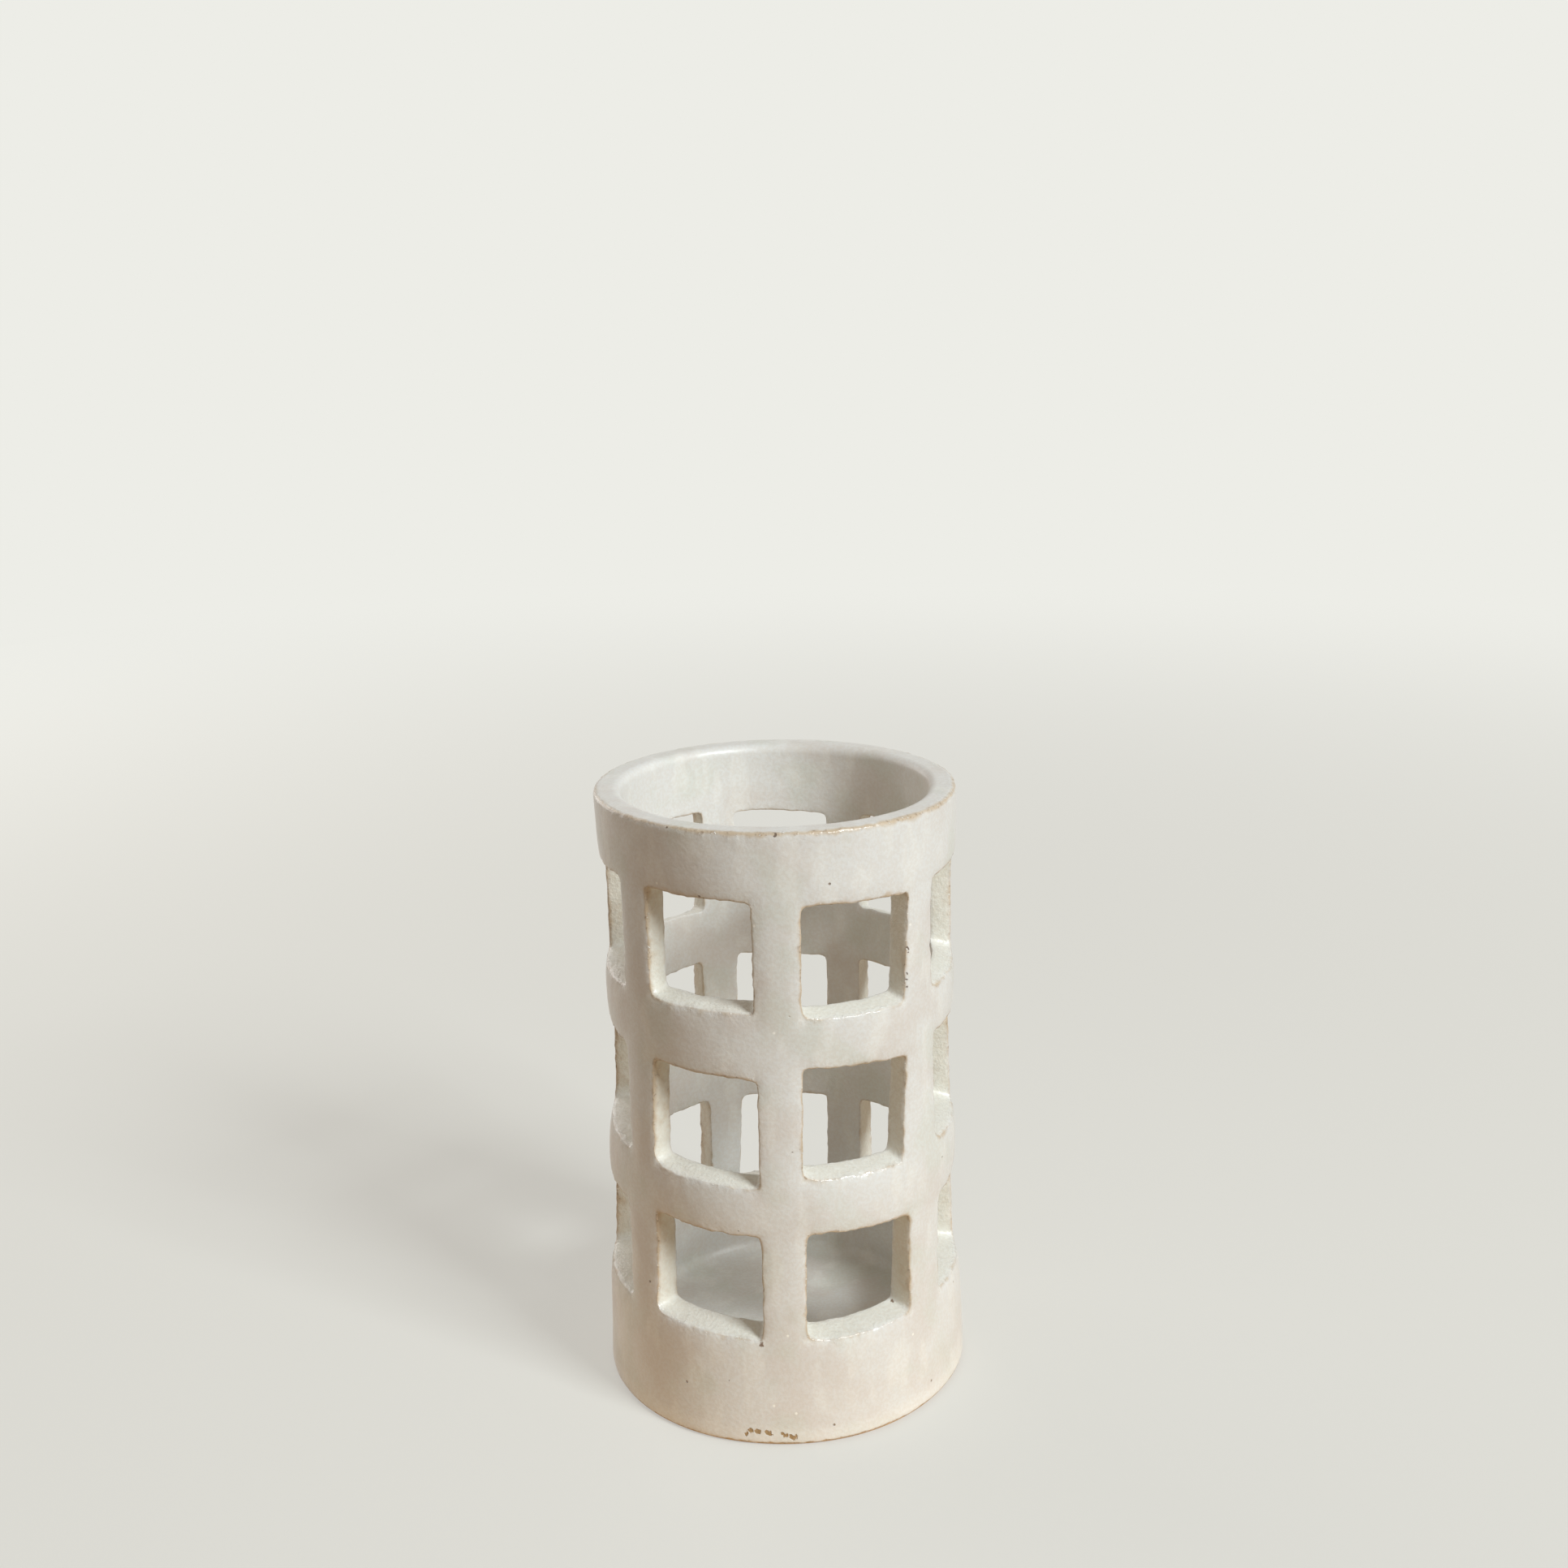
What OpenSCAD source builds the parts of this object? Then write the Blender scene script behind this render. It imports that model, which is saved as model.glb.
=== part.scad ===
// A pierced stoneware cage that holds one tall round thing upright: a single
// fired piece, a round wall with a floor, cut through by rows of square windows.
// Millimetres. The origin is the centre of the foot, and +Z runs up the axis.
// One upright between two columns of windows faces the front, along -Y.

/* [Body] */
// Height from the foot to the top of the rim
cage_h = 166.6; // [150:0.2:190]
// Inside diameter of the mouth
mouth_d = 82; // [70:0.5:110]
// Height of the straight, true-round stretch inside the mouth
mouth_h = 14; // [4:0.5:16]
// How much the well narrows from the mouth to the floor, on the radius
well_taper = 0.3; // [0.1:0.1:2]
// Thickness of the wall at the rim
rim_wall = 7.3; // [6:0.1:10]
// Thickness of the wall half way up, where the outside is slightly waisted
waist_wall = 6.4; // [5:0.1:9]
// Thickness of the wall at the foot
foot_wall = 9.3; // [6:0.1:12]
// Thickness of the floor
floor_t = 8; // [6:0.5:14]

/* [Windows] */
// Number of columns of windows round the wall
columns = 7; // [5:1:9]
// Number of rows of windows
rows = 3; // [1:1:4]
// Width of an upright between two windows, on the outside
upright_w = 12.2; // [9:0.2:16]
// Height of the plain ring between two rows
crossbar_h = 14.8; // [9:0.2:18]
// Height of the plain band under the lowest row
foot_band_h = 29.8; // [20:0.2:36]
// Height of the plain band over the top row
rim_band_h = 19; // [14:0.2:26]
// Radius of a window's corners
corner_r = 1.8; // [1:0.1:5]

/* [Edges] */
// Rounding of the rim's outer edge, which stays crisp
rim_round = 1.2; // [0.6:0.2:2.4]
// Rounding of the rim's inner edge, which leads down into the mouth
lip_round = 2.2; // [1:0.2:3]
// Rounding of the foot's outer edge
foot_round = 1.4; // [0.6:0.2:2.4]
// Rounding where the floor meets the wall inside
heel_round = 3; // [1.4:0.2:4]

/* [Hidden] */
$fn = 96;

glaze = [0.86, 0.82, 0.74];
// Straight stretches that follow the slight waist of the outside
stations = 8;
// How far a cutter runs past the surface that it cuts
overrun = 2;

mouth_r = mouth_d / 2;
rim_low = cage_h - rim_round;
lip_low = cage_h - lip_round;
mouth_low = lip_low - mouth_h;
window_h = (cage_h - foot_band_h - rim_band_h - (rows - 1) * crossbar_h) / rows;
row_pitch = window_h + crossbar_h;
column_angle = 360 / columns;
upright_angle = 2 * asin(upright_w / 2 / outer_r(cage_h / 2));
window_half_angle = (column_angle - upright_angle) / 2;

// Thickness of the wall at height z: a parabola through foot, waist and rim
function wall(z) =
    let (s = z / cage_h)
    foot_wall * (1 - s) * (1 - 2 * s) + waist_wall * 4 * s * (1 - s) + rim_wall * s * (2 * s - 1);

// The inside tapers a little from the mouth's straight stretch to the floor
function inner_r(z) = mouth_r - well_taper * max(0, 1 - z / mouth_low);

function outer_r(z) = inner_r(z) + wall(z);

// Half of the wall and floor, cut down the axis: x is the radius, y the height
module profile() {
    heel_low = floor_t + heel_round;
    rim_centre = outer_r(rim_low) - rim_round;
    lip_centre = mouth_r + lip_round;
    foot_centre = outer_r(foot_round) - foot_round;
    outside = [
        for (i = [0 : stations])
            let (z = foot_round + (rim_low - foot_round) * i / stations)
            [outer_r(z), z]
    ];
    difference() {
        union() {
            polygon(concat([[0, 0], [foot_centre, 0]], outside, [
                [rim_centre, cage_h],
                [lip_centre, cage_h],
                [mouth_r, lip_low],
                [mouth_r, mouth_low],
                [inner_r(heel_low), heel_low],
                [inner_r(heel_low) - heel_round, floor_t],
                [0, floor_t]
            ]));
            translate([rim_centre, rim_low]) circle(r = rim_round);
            translate([lip_centre, lip_low]) circle(r = lip_round);
            translate([foot_centre, foot_round]) circle(r = foot_round);
        }
        translate([inner_r(heel_low) - heel_round, heel_low]) circle(r = heel_round);
    }
}

// One window's cutter, pointing along +X: two halves, each cut square to the
// wall along its own jamb, so both jambs lie on planes through the axis while
// the sill and the head stay level.
module window_cutter() {
    for (side = [0, 1])
        mirror([0, side, 0])
            rotate([0, 0, -window_half_angle])
                half_window_cutter();
}

// The half from one jamb to just past the middle. Its jamb lies on Y = 0.
module half_window_cutter() {
    near = inner_r(0) * cos(window_half_angle) - overrun;
    far = mouth_r + max(rim_wall, foot_wall) + overrun;
    translate([near, 0, 0]) rotate([90, 0, 90])
        linear_extrude(height = far - near)
            half_window(far * sin(window_half_angle), window_h, corner_r);
}

// A window's half in the flat, rounded at the two corners by the jamb
module half_window(across, tall, r) {
    translate([0, r - tall / 2]) square([across, tall - 2 * r]);
    translate([r, -tall / 2]) square([across - r, tall]);
    for (y = [-1, 1])
        translate([r, y * (tall / 2 - r)]) circle(r = r);
}

module cage() {
    color(glaze) difference() {
        rotate_extrude() profile();
        for (row = [0 : rows - 1], column = [0 : columns - 1])
            rotate([0, 0, -90 + (column + 0.5) * column_angle])
                translate([0, 0, foot_band_h + window_h / 2 + row * row_pitch])
                    window_cutter();
    }
}

cage();
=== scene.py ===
# %% [markdown]
# # A pierced stoneware cage
# The object is one fired piece: a round wall with a floor, about 167 mm tall,
# cut through by three rows of seven square windows. A potter rolls a slab
# round a former, joins it to a floor, cuts the windows with a knife while the
# clay is leather hard, smooths every edge with a wet sponge and glazes it.
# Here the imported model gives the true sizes, and one new mesh stands for its
# only node, because a hand-cut piece has edges that are softer and less
# regular than an exact solid can be.

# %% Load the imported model
import bisect
import math
import random
from types import SimpleNamespace

import bmesh
import bpy
from mathutils import Matrix, Vector, kdtree, noise
from mathutils.bvhtree import BVHTree


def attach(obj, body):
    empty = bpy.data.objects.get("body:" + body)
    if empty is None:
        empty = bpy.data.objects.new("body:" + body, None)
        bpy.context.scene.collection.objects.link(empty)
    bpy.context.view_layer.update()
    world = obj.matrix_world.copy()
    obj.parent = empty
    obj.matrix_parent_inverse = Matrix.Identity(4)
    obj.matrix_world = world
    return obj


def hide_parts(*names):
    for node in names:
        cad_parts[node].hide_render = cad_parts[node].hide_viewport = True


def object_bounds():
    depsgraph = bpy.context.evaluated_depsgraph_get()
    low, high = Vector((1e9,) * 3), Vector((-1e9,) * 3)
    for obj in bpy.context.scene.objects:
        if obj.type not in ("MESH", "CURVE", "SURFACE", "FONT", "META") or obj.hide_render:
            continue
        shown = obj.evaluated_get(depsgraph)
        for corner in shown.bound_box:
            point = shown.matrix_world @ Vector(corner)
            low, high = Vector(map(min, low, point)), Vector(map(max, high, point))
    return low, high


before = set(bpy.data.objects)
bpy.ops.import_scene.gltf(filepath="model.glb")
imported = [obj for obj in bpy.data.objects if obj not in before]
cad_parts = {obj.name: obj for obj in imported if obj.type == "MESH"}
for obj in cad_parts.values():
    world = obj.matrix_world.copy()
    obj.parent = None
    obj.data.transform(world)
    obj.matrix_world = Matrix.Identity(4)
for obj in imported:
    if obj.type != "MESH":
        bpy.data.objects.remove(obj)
cad_low, cad_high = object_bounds()
MM = 0.001


def box_size(low, high):
    """The size of a box in millimetres, from its two far corners."""
    return [round((top - bottom) / MM, 1) for bottom, top in zip(low, high)]


print("size in mm", box_size(cad_low, cad_high))

# %% [markdown]
# ## The camera
# The picture was taken by hand from a little above the rim, at about half a
# metre, and the camera leant by one degree. A camera can be placed by eye, or
# worked out from the rim, the foot and the two sides of the wall. It was
# worked out, so distance, height and tilt are real lengths and angles, and the
# lens follows from the width of the frame in pixels.

# %% Place the camera
SENSOR_WIDTH = 36
FRAME_PIXELS = 1932
FOCAL_PIXELS = 2300
NEAREST_SEEN = 10 * MM
CAMERA_DISTANCE = 476.7 * MM
CAMERA_HEIGHT = 292.9 * MM
CAMERA_TILT = math.radians(14.93)
CAMERA_LEAN = math.radians(-0.96)
# How far round the cage the camera stands from the front upright's middle
CAMERA_ROUND = math.radians(0.9)
# How far it looks past the cage's axis
CAMERA_TURN = math.radians(0.23)


def place_camera():
    camera_data = bpy.data.cameras.new("camera")
    camera_data.sensor_width = SENSOR_WIDTH
    camera_data.lens = SENSOR_WIDTH * FOCAL_PIXELS / FRAME_PIXELS
    camera_data.clip_start = NEAREST_SEEN
    camera = bpy.data.objects.new("camera", camera_data)
    bpy.context.scene.collection.objects.link(camera)
    upright = Matrix.Rotation(math.pi / 2 - CAMERA_TILT, 4, "X")
    leant = upright @ Matrix.Rotation(CAMERA_LEAN, 4, "Z")
    turned = Matrix.Rotation(-CAMERA_TURN, 4, "Z") @ leant
    standing = Matrix.Translation((0, -CAMERA_DISTANCE, CAMERA_HEIGHT)) @ turned
    camera.matrix_world = Matrix.Rotation(CAMERA_ROUND, 4, "Z") @ standing
    bpy.context.scene.camera = camera
    return camera


camera = place_camera()
print("lens in mm", round(camera.data.lens, 1))

# %% [markdown]
# ## The sizes of the wall
# The wall is a little thicker at the foot than at the rim, and its outside is
# slightly waisted. One curve through three thicknesses gives that, as a
# parabola does. The windows repeat with a fixed pitch both ways, so every
# height and angle follows from a few driving sizes.

# %% Sizes
HEIGHT = cad_high.z - cad_low.z
MOUTH_R, MOUTH_HEIGHT = 41 * MM, 14 * MM
RIM_ROUND, LIP_ROUND = 1.2 * MM, 2.2 * MM
MOUTH_LOW = HEIGHT - LIP_ROUND - MOUTH_HEIGHT
WELL_TAPER = 0.3 * MM
RIM_WALL, WAIST_WALL, FOOT_WALL = 7.3 * MM, 6.4 * MM, 9.3 * MM
# A distance from the axis that lies between the wall's two skins everywhere
MID_WALL_R = 44 * MM
FLOOR_THICKNESS = 8 * MM
COLUMNS, ROWS = 7, 3
UPRIGHT_WIDTH = 12.2 * MM
FOOT_BAND, WINDOW_HEIGHT, CROSSBAR = 29.8 * MM, 29.4 * MM, 14.8 * MM
ROW_PITCH = WINDOW_HEIGHT + CROSSBAR


def inside_r(z):
    return MOUTH_R - WELL_TAPER * max(0, 1 - z / MOUTH_LOW)


def outside_r(z):
    s = z / HEIGHT
    wall = FOOT_WALL * (1 - s) * (1 - 2 * s)
    wall += WAIST_WALL * 4 * s * (1 - s) + RIM_WALL * s * (2 * s - 1)
    return inside_r(z) + wall


def on_outside(point):
    """Whether a point of the wall lies on its outer skin."""
    return point.xy.length > MID_WALL_R


sills = [FOOT_BAND + row * ROW_PITCH for row in range(ROWS)]
heads = [sill + WINDOW_HEIGHT for sill in sills]
levels = [0] + [z for pair in zip(sills, heads) for z in pair] + [HEIGHT]
print("levels in mm", [round(z / MM, 1) for z in levels])

# %% [markdown]
# ## The wall, spun
# Half of the wall and floor, cut down the axis, is one line of points. Turning
# it round the axis, as a wheel would, makes the whole closed shell. Rings of
# faces must fall exactly on each sill and each head, because the windows are
# cut along them next, so the heights are listed band by band.

# %% Spin the profile
# The wheel turns in equal steps: so many to a window and so many to an upright
WINDOW_STEPS, UPRIGHT_STEPS = 12, 6
COLUMN_STEPS = WINDOW_STEPS + UPRIGHT_STEPS
STEPS = COLUMNS * COLUMN_STEPS
RING_SPACING = 2.7 * MM
# Rings of the underside and of the floor, as shares of the way out to the wall
UNDER_RINGS = (0, 0.3, 0.6, 0.8, 0.94)
FLOOR_RINGS = (0.9, 0.75, 0.5, 0.25, 0)
# Rings of the rim's top, as shares of its width
TOP_RINGS = (0.66, 0.33)
# Points closer than this become one
WELD = 0.02 * MM
# What each vertex will carry for the glaze
MARKS = ("edge", "thin", "reveal", "pool_and_highlight")


def wall_heights(start):
    marks = [start] + levels[1:]
    heights = []
    for low, high in zip(marks, marks[1:]):
        rings = max(2, round((high - low) / RING_SPACING))
        heights += [low + (high - low) * ring / rings for ring in range(rings)]
    return heights + [HEIGHT]


def spin_wall():
    shell = bmesh.new()
    shell.faces.layers.int.new("kind")
    for name in MARKS:
        shell.verts.layers.float.new(name)
    outside = [(outside_r(z), z) for z in wall_heights(0)]
    inside = [(inside_r(z), z) for z in wall_heights(FLOOR_THICKNESS)]
    under = [(share * outside_r(0), 0) for share in UNDER_RINGS]
    top = [(inside_r(HEIGHT) + share * RIM_WALL, HEIGHT) for share in TOP_RINGS]
    floor = [(share * inside_r(0), FLOOR_THICKNESS) for share in FLOOR_RINGS]
    line = under + outside + top + inside[::-1] + floor
    # The line starts at the middle of the front upright, on -Y
    points = [shell.verts.new((0, -r, z)) for r, z in line]
    edges = [shell.edges.new(pair) for pair in zip(points, points[1:])]
    bmesh.ops.spin(
        shell, geom=points + edges, cent=(0, 0, 0), axis=(0, 0, 1), dvec=(0, 0, 0),
        angle=2 * math.pi, steps=STEPS, use_merge=True, use_duplicate=False,
    )
    bmesh.ops.remove_doubles(shell, verts=shell.verts, dist=WELD)
    bmesh.ops.recalc_face_normals(shell, faces=shell.faces)
    return shell


shell = spin_wall()
print("faces in the spun shell", len(shell.faces))

# %% [markdown]
# ## The windows
# Each window is a hole through a wall with two skins. The faces inside its
# outline come out of both skins, and a band of new faces joins the two edges:
# those are the sill, the head and the jambs. A boolean cut would do the same,
# but it leaves long thin faces that can't be rounded well.

# %% Find and cut the windows
# The kinds of face: the wall's skin, a window's cut face, and a rolled edge
WALL, REVEAL, ROLLED = 0, 1, 2


def around(point):
    """Angle round the axis from the middle of the front upright, in steps."""
    return math.atan2(point.x, -point.y) / (2 * math.pi) * STEPS % STEPS


def off_middle(point):
    """Steps from a point to the middle line of its column of windows."""
    return abs(around(point) % COLUMN_STEPS - COLUMN_STEPS / 2)


def window_at(point):
    """The (row, column) of the window that a point lies in, or None."""
    if off_middle(point) > WINDOW_STEPS / 2:
        return None
    for row in range(ROWS):
        if sills[row] < point.z < heads[row]:
            return row, int(around(point) // COLUMN_STEPS)
    return None


def cut_windows(shell):
    skins = {}
    for face in shell.faces:
        window = window_at(face.calc_center_median())
        if window:
            skins.setdefault(window, []).append(face)
    outlines = []
    for faces in skins.values():
        chosen = set(faces)
        edges = {edge for face in faces for edge in face.edges}
        outlines.append([edge for edge in edges if not chosen.issuperset(edge.link_faces)])
    every_face = [face for faces in skins.values() for face in faces]
    bmesh.ops.delete(shell, geom=every_face, context="FACES")
    kind = shell.faces.layers.int["kind"]
    for edges in outlines:
        for face in bmesh.ops.bridge_loops(shell, edges=edges)["faces"]:
            face[kind] = REVEAL
    bmesh.ops.recalc_face_normals(shell, faces=shell.faces)


cut_windows(shell)
kind = shell.faces.layers.int["kind"]
cut_faces = sum(face[kind] == REVEAL for face in shell.faces)
print("windows cut", ROWS * COLUMNS, "cut faces", cut_faces)

# %% [markdown]
# ## Soft edges
# A knife leaves sharp corners and a wet sponge takes them off. The four
# corners of each window turn in a radius of 1 to 2.5 mm. A bevel there would
# break up the even grid of the wall, so the corner is only pulled in a little,
# and the subdivision that comes later turns it into a curve. Glaze filled the
# low left corners on the outside, so those are pulled in further. The long
# edges are bevelled: a window's by less than 1 mm, so that they stay crisp, and
# the rim's inner edge by more than its outer one, because things slide in there.
# The sponge leans on the sills, so their roll is drawn out a little more.

# %% Round the corners and the edges
CORNER_PULL, LOW_CORNER_PULL = 0.1 * MM, 0.6 * MM
# Cut faces that meet at more than this make a corner
CORNER_ANGLE = math.radians(60)
WINDOW_EDGE_ROUND = 0.55 * MM
FOOT_ROUND, HEEL_ROUND = 1.4 * MM, 3 * MM
# How far a vertex of a ring may be off its height and its radius
HEIGHT_SLACK, RADIUS_SLACK = 0.01 * MM, 0.2 * MM
# How many times wider the roll along a sill is, and how far from its two ends
SILL_ROLL, SILL_ROLL_ENDS = 1.2, 3 * MM
# A vertex this near to a sill's height belongs to its roll
ROLL_HEIGHT = 1 * MM
STEP_LENGTH = 2 * math.pi * outside_r(HEIGHT / 2) / STEPS


def bevel(shell, edges, width, new_kind, segments=2):
    made = bmesh.ops.bevel(
        shell, geom=edges, offset=width, offset_type="OFFSET", affect="EDGES",
        segments=segments, profile=0.5, material=-1, clamp_overlap=True,
    )
    for face in made["faces"]:
        face[kind] = new_kind


def to_right(vert):
    """The level direction along the wall, to the right as seen from outside."""
    return Vector((-vert.co.y, vert.co.x, 0)).normalized()


def pull_corners(shell):
    """Moves the edges that run through the wall at the windows' corners."""
    inner = [
        edge for edge in shell.edges
        if all(face[kind] == REVEAL for face in edge.link_faces)
    ]
    corners = [edge for edge in inner if edge.calc_face_angle() > CORNER_ANGLE]
    for edge in corners:
        into_window = sum((face.normal for face in edge.link_faces), Vector())
        low_left = into_window.z > 0 and into_window.dot(to_right(edge.verts[0])) > 0
        for vert in edge.verts:
            filled = low_left and on_outside(vert.co)
            vert.co += into_window * (LOW_CORNER_PULL if filled else CORNER_PULL)
    return corners


def outline_edges(shell):
    """The edges where a reveal meets one of the wall's two skins."""
    inner = [edge for edge in shell.edges if len(edge.link_faces) == 2]
    return [edge for edge in inner if {face[kind] for face in edge.link_faces} == {WALL, REVEAL}]


def ring_edges(shell, z, near_r):
    """The edges of the ring at one height and about one radius."""
    def on_ring(vert):
        off_radius = abs(vert.co.xy.length - near_r)
        return abs(vert.co.z - z) < HEIGHT_SLACK and off_radius < RADIUS_SLACK
    return [edge for edge in shell.edges if all(on_ring(vert) for vert in edge.verts)]


def roll_sills(shell):
    """Draws out the roll along each sill's outer edge, away from its two corners."""
    rolled = {vert for face in shell.faces if face[kind] == ROLLED for vert in face.verts}
    for vert in rolled:
        sill = min(sills, key=lambda z: abs(vert.co.z - z))
        if not on_outside(vert.co) or abs(vert.co.z - sill) > ROLL_HEIGHT:
            continue
        from_jamb = (WINDOW_STEPS / 2 - off_middle(vert.co)) * STEP_LENGTH
        wider = 1 + (SILL_ROLL - 1) * min(1, max(0, from_jamb / SILL_ROLL_ENDS))
        r, edge_r = vert.co.xy.length, outside_r(sill)
        vert.co.z = sill + (vert.co.z - sill) * wider
        vert.co.xy *= (edge_r + (r - edge_r) * wider) / r


print("corners pulled in", len(pull_corners(shell)))
bevel(shell, outline_edges(shell), WINDOW_EDGE_ROUND, ROLLED)
roll_sills(shell)
bevel(shell, ring_edges(shell, HEIGHT, inside_r(HEIGHT)), LIP_ROUND, WALL, segments=3)
bevel(shell, ring_edges(shell, HEIGHT, outside_r(HEIGHT)), RIM_ROUND, ROLLED)
bevel(shell, ring_edges(shell, 0, outside_r(0)), FOOT_ROUND, WALL)
bevel(shell, ring_edges(shell, FLOOR_THICKNESS, inside_r(FLOOR_THICKNESS)), HEEL_ROUND, WALL)
print("faces", len(shell.faces), "open edges", sum(not edge.is_manifold for edge in shell.edges))

# %% [markdown]
# ## Cut by hand
# No two of the real windows are alike: the knife strayed by up to two and a
# half millimetres, so jambs lean and sills slope. Moving whole edges keeps the
# corners round. The four lines of each window make a net of knots, each knot
# gets its own small shift, and every point between them moves by a share of
# the four shifts round it. The windows that can be seen have measured shifts,
# and the ones at the back get chance ones of the same size. The knife was
# held with its tip high, so each sill also climbs towards the inside. The
# clay gave way under it, so the outer skin sinks a little towards each window.

# %% Move the windows' edges
# Top and bottom of the left jamb, of the right jamb, then the left and right
# ends of the sill, of the head. Right and up are positive, in millimetres.
STRAYED = {
    (2, 6): ((-0.7, 0.0), (-0.2, -0.1), (1.2, 0.9), (0.9, 0.9)),
    (2, 0): ((0.0, -0.2), (0.3, -1.1), (-0.7, -0.7), (-0.2, -1.4)),
    (1, 6): ((-0.4, -0.4), (0.4, 0.6), (-1.0, -2.1), (-1.2, -2.2)),
    (1, 0): ((0.1, -0.4), (0.5, -1.7), (0.2, -0.5), (0.8, -1.1)),
    (0, 6): ((-0.1, 0.1), (0.8, 0.8), (1.2, -0.4), (0.4, -0.5)),
    (0, 0): ((0.3, 0.0), (0.6, -0.1), (-0.7, 0.0), (0.0, -1.2)),
    (2, 5): ((-0.4, 0.2), (0.4, 0.9), (0.5, 0.8), (0.4, 1.0)),
    (1, 5): ((0.3, -0.5), (-1.3, 1.3), (0.3, -0.6), (-0.2, -1.1)),
    (0, 5): ((-0.6, 0.1), (-1.6, 0.8), (0.4, 0.6), (-0.5, -1.7)),
    (2, 1): ((-1.9, -1.5), (0.4, -0.3), (-0.6, 0.2), (0.0, 0.6)),
    (1, 1): ((0.5, 0.7), (-0.5, 0.1), (0.3, -0.4), (1.2, 0.3)),
    (0, 1): ((2.5, 1.6), (0.2, 0.7), (0.1, 0.6), (-1.7, -0.4)),
}
# The columns at the back, and how far the knife strays there, in millimetres
HIDDEN_COLUMNS, CHANCE_STRAY = (2, 3, 4), 0.6
# How much higher a sill's inner edge is, and how far above and below that is felt
SILL_CLIMB, SILL_REACH = 1.7 * MM, 5 * MM
# How deep the outer skin sinks at a window's edge, and from how far away
PILLOW_DIP, PILLOW_REACH = 0.45 * MM, 5 * MM
# The shifts die away towards the axis with this power, so the floor stays flat
FLOOR_CALM = 4
COLUMN_ANGLE = 2 * math.pi / COLUMNS
UPRIGHT_ANGLE = 2 * math.asin(UPRIGHT_WIDTH / 2 / outside_r(HEIGHT / 2))
KNIFE_SEED = 7
knife = random.Random(KNIFE_SEED)
for column in HIDDEN_COLUMNS:
    for row in range(ROWS):
        STRAYED[row, column] = [
            (knife.gauss(0, CHANCE_STRAY), knife.gauss(0, CHANCE_STRAY)) for side in range(4)
        ]


def knot(jamb, level):
    """Where a knot of the net really is: its angle and its height."""
    column, right = divmod(jamb, 2)
    half_window = (COLUMN_ANGLE - UPRIGHT_ANGLE) / 2
    angle = (column + 0.5) * COLUMN_ANGLE + (half_window if right else -half_window)
    if level in (0, len(levels) - 1):
        return Vector((angle, levels[level]))
    row, head = divmod(level - 1, 2)
    left_jamb, right_jamb, sill, top = STRAYED[row, column % COLUMNS]
    across = (right_jamb if right else left_jamb)[0 if head else 1]
    up = (top if head else sill)[right]
    return Vector((angle + across * MM / outside_r(levels[level]), levels[level] + up * MM))


def net_place(point):
    """The angle and the height that the net gives to a point of the even wall."""
    column, step = divmod(around(point) - UPRIGHT_STEPS / 2, COLUMN_STEPS)
    jamb, share = 2 * int(column), step / WINDOW_STEPS
    if step > WINDOW_STEPS:
        jamb, share = jamb + 1, (step - WINDOW_STEPS) / UPRIGHT_STEPS
    level = min(max(bisect.bisect_right(levels, point.z) - 1, 0), len(levels) - 2)
    rise = (point.z - levels[level]) / (levels[level + 1] - levels[level])
    low = knot(jamb, level).lerp(knot(jamb + 1, level), share)
    high = knot(jamb, level + 1).lerp(knot(jamb + 1, level + 1), share)
    return low.lerp(high, rise)


def at_angle(angle, r, z):
    return Vector((r * math.sin(angle), -r * math.cos(angle), z))


def bell(distance, width):
    return math.exp(-((distance / width) ** 2))


def sill_climb(point):
    """How far a point rises with the slope of the nearest sill."""
    nearest = min(abs(point.z - sill) for sill in sills)
    inward = (outside_r(point.z) - point.xy.length) / (outside_r(point.z) - inside_r(point.z))
    return SILL_CLIMB * min(1, max(0, inward)) * bell(nearest, SILL_REACH)


def pillow_dip(point):
    """How far the outer skin sinks at a point of the even wall."""
    across = max(0, off_middle(point) - WINDOW_STEPS / 2) * STEP_LENGTH
    up = min(max(sill - point.z, point.z - head, 0) for sill, head in zip(sills, heads))
    near = max(0, 1 - math.hypot(across, up) / PILLOW_REACH)
    return PILLOW_DIP * near ** 2 if on_outside(point) else 0


def cut_by_hand(shell):
    """Moves every point of the even wall to where the hand left it."""
    for vert in shell.verts:
        angle, z = net_place(vert.co)
        r = vert.co.xy.length - pillow_dip(vert.co)
        rise = z + sill_climb(vert.co) - vert.co.z
        calm = min(1, r / inside_r(0)) ** FLOOR_CALM
        vert.co = at_angle(angle, r, vert.co.z + rise * calm)


cut_by_hand(shell)
widest = max(abs(shift) for sides in STRAYED.values() for pair in sides for shift in pair)
print("widest shift in mm", round(widest, 1))

# %% [markdown]
# ## Pressed by hand
# A slab rolled round a former isn't quite true. On the real one the wall is
# pressed in a little at the upper crossbar and stands out at the lower one,
# the rim has been pushed in on the right, and the whole skin has slow lumps.
# Both skins move together, so the wall keeps its thickness. Slow noise read
# round the axis gives the lumps, since it has no seam.

# %% Press the wall
# Height and reach of the pressed and of the full stretch, and by how much
PRESSED_HEIGHT, PRESSED_REACH, PRESSED_BY = 107 * MM, 15 * MM, -0.3 * MM
FULL_HEIGHT, FULL_REACH, FULL_BY = 65 * MM, 13 * MM, 0.3 * MM
# The rim's push grows from this share of the height up to the top
RIM_PUSHED_FROM, RIM_PUSHED_BY = 0.72, -1.1 * MM
LUMP_SIZE, LUMP_DEPTH = 28 * MM, 0.7 * MM
# The stretch of the endless noise whose swellings fall where the real ones do
LUMP_START = Vector((202.3, 273.7, 107.1))
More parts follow.
